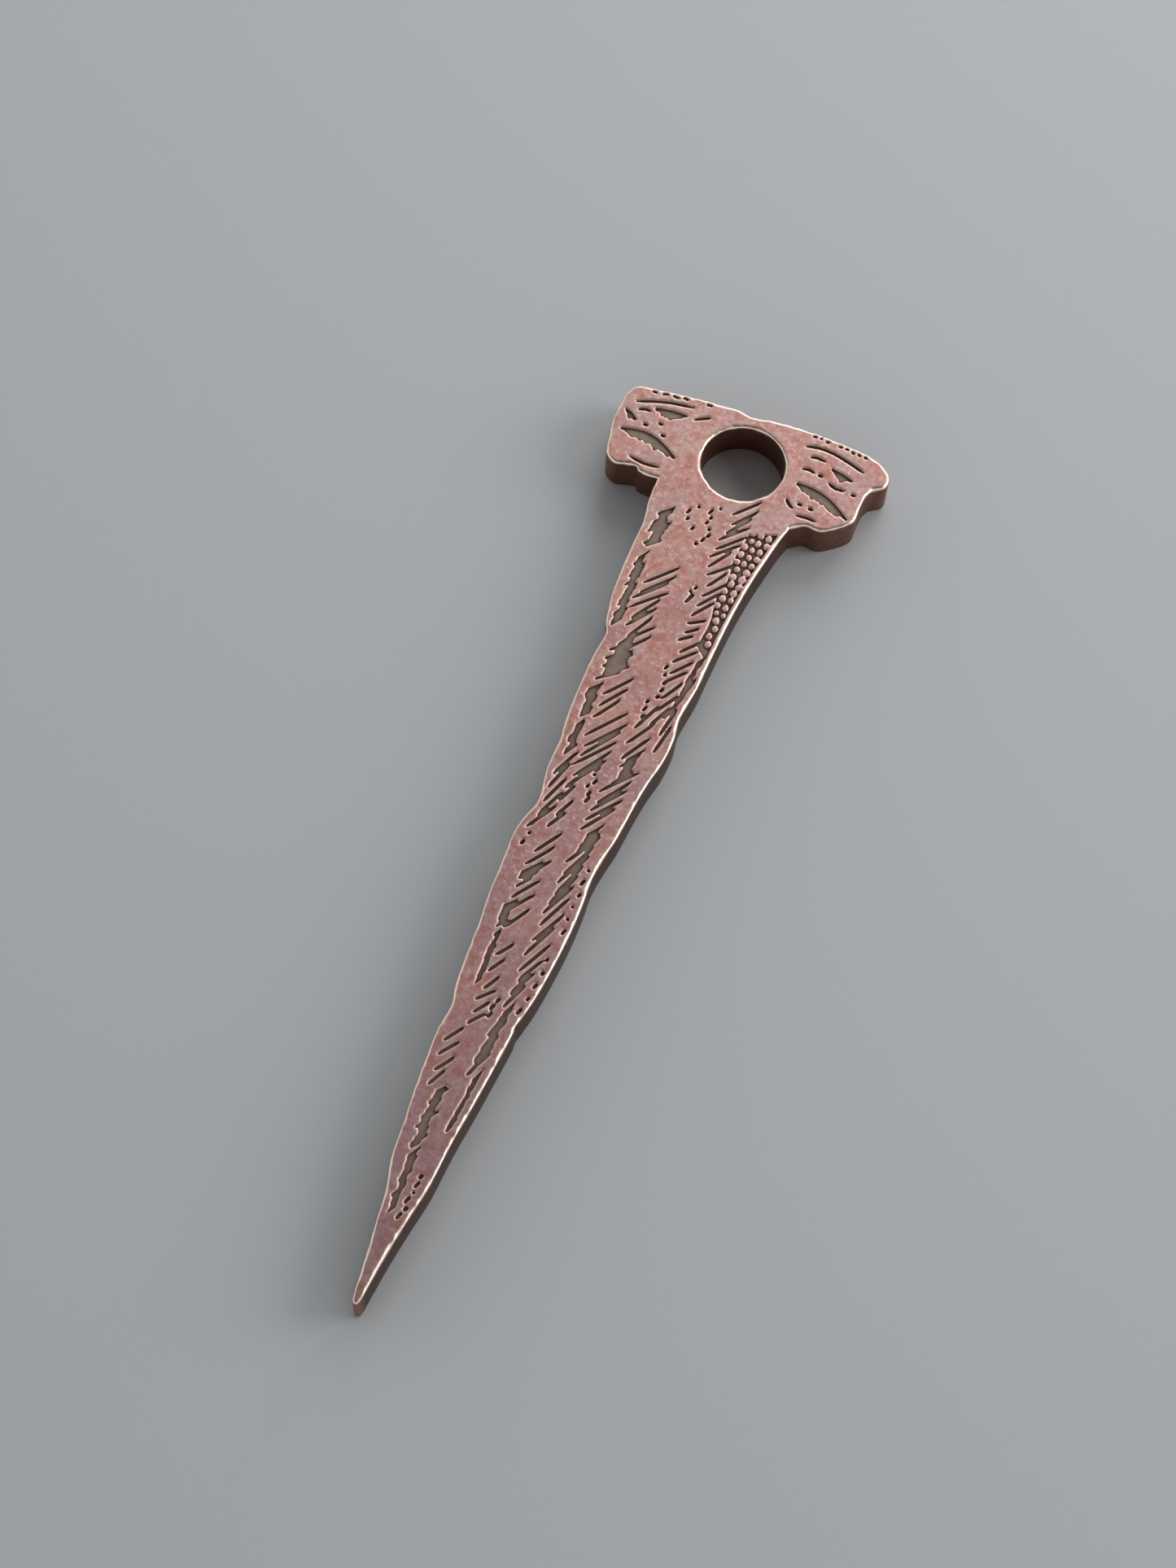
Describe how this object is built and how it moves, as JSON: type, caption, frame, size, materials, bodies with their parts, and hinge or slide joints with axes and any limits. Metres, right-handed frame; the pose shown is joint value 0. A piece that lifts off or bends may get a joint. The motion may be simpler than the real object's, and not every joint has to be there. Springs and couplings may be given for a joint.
{
  "type": "flat rail spike",
  "caption": "Flat copper plate in the outline of a rail spike, with a holed T head, a long tapering shank and an engraved face darkened in its lines.",
  "frame": {"origin": "on the hole's axis, on the plain back face", "axes": "+X to the right seen from the engraved face, +Y towards the head, -Y towards the point, +Z out of the engraved face"},
  "size_m": [0.0318, 0.1125, 0.0048],
  "materials": {
    "tumbled_copper": "tumbled copper, satin, mottled pink and mauve",
    "dark_patina": "matte dark oxide on the floor of the engraving"
  },
  "bodies": {
    "root": {"copper_plate": "tumbled_copper", "engraving_patina": "dark_patina"}
  },
  "joints": []
}
